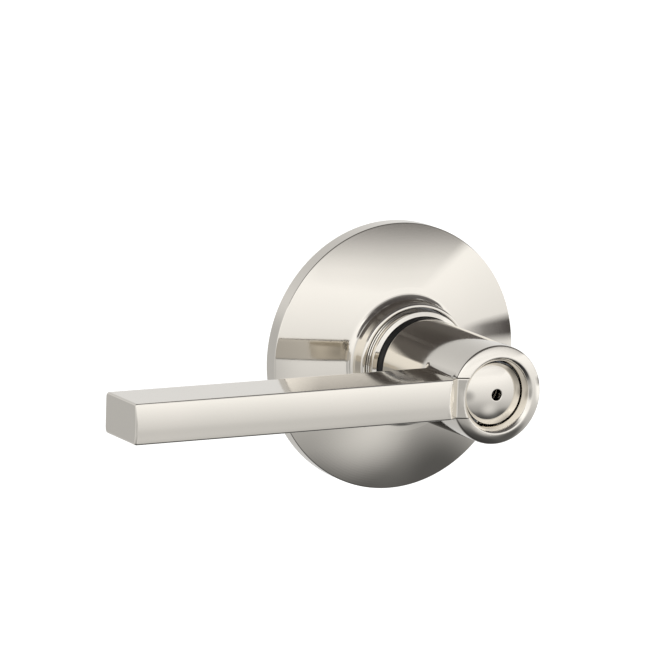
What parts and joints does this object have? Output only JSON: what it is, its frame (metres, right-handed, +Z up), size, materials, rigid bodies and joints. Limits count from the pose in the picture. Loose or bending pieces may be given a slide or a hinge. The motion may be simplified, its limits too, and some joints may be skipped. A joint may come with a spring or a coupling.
{
  "type": "door lever handle",
  "caption": "Slim square-bar privacy door lever on a shallow round rose, with a capped ring that holds an emergency release hole, its return spring, spindle and catch.",
  "frame": {"origin": "centre of the rose's back face, where the spindle axis meets the door's face", "axes": "-Y points out of the door towards the hand, along the spindle axis; -X runs along the lever arm to its tip; +Z is up"},
  "size_m": [0.1303, 0.0995, 0.0666],
  "materials": {
    "polished_nickel": "mirror-polished nickel plate with a warm tint",
    "zinc_plated_steel": "bright zinc plate, satin",
    "cast_zinc": "bare die-cast zinc alloy, matt",
    "spring_steel": "oiled spring wire and strip",
    "brass": "machined brass",
    "black_nylon": "black bearing nylon, satin",
    "white_nylon": "natural nylon, satin"
  },
  "bodies": {
    "mount": {"rose": "polished_nickel", "rose_collar": "polished_nickel", "neck_bushing": "black_nylon", "mounting_plate": "zinc_plated_steel", "mount_hub": "cast_zinc", "spring_cage": "zinc_plated_steel", "cage_screws": "zinc_plated_steel", "threaded_posts": "zinc_plated_steel", "return_spring": "spring_steel", "front_washer": "white_nylon", "rear_washer": "spring_steel"},
    "lever_set": {"lever": "polished_nickel", "pinhole_cap": "polished_nickel", "cap_clip": "spring_steel", "spindle_tube": "zinc_plated_steel", "spring_cam": "zinc_plated_steel", "retaining_ring": "spring_steel", "spindle_plug": "cast_zinc", "plug_pins": "zinc_plated_steel", "drive_spindle": "zinc_plated_steel", "release_guide": "white_nylon", "release_spring": "spring_steel", "catch_spring": "spring_steel"},
    "catch": {"lever_catch": "brass"},
    "release": {"release_rod": "zinc_plated_steel", "rod_clip": "spring_steel"}
  },
  "joints": [
    {"name": "lever_turn", "type": "hinge", "parent": "mount", "child": "lever_set", "pos_m": [0, 0, 0], "axis": [0, -1, 0], "range_deg": [-45, 45], "stiffness_Nm_per_rad": 1.5, "springref_deg": -1.72, "deforming": ["return_spring"]},
    {"name": "release_push", "type": "slide", "parent": "lever_set", "child": "release", "axis": [0, 1, 0], "range_m": [0, 0.006], "stiffness_N_per_m": 150, "deforming": ["release_spring"]},
    {"name": "catch_press", "type": "slide", "parent": "lever_set", "child": "catch", "axis": [0, 0, 1], "range_m": [0, 0.0018], "stiffness_N_per_m": 300, "deforming": ["catch_spring"]}
  ]
}
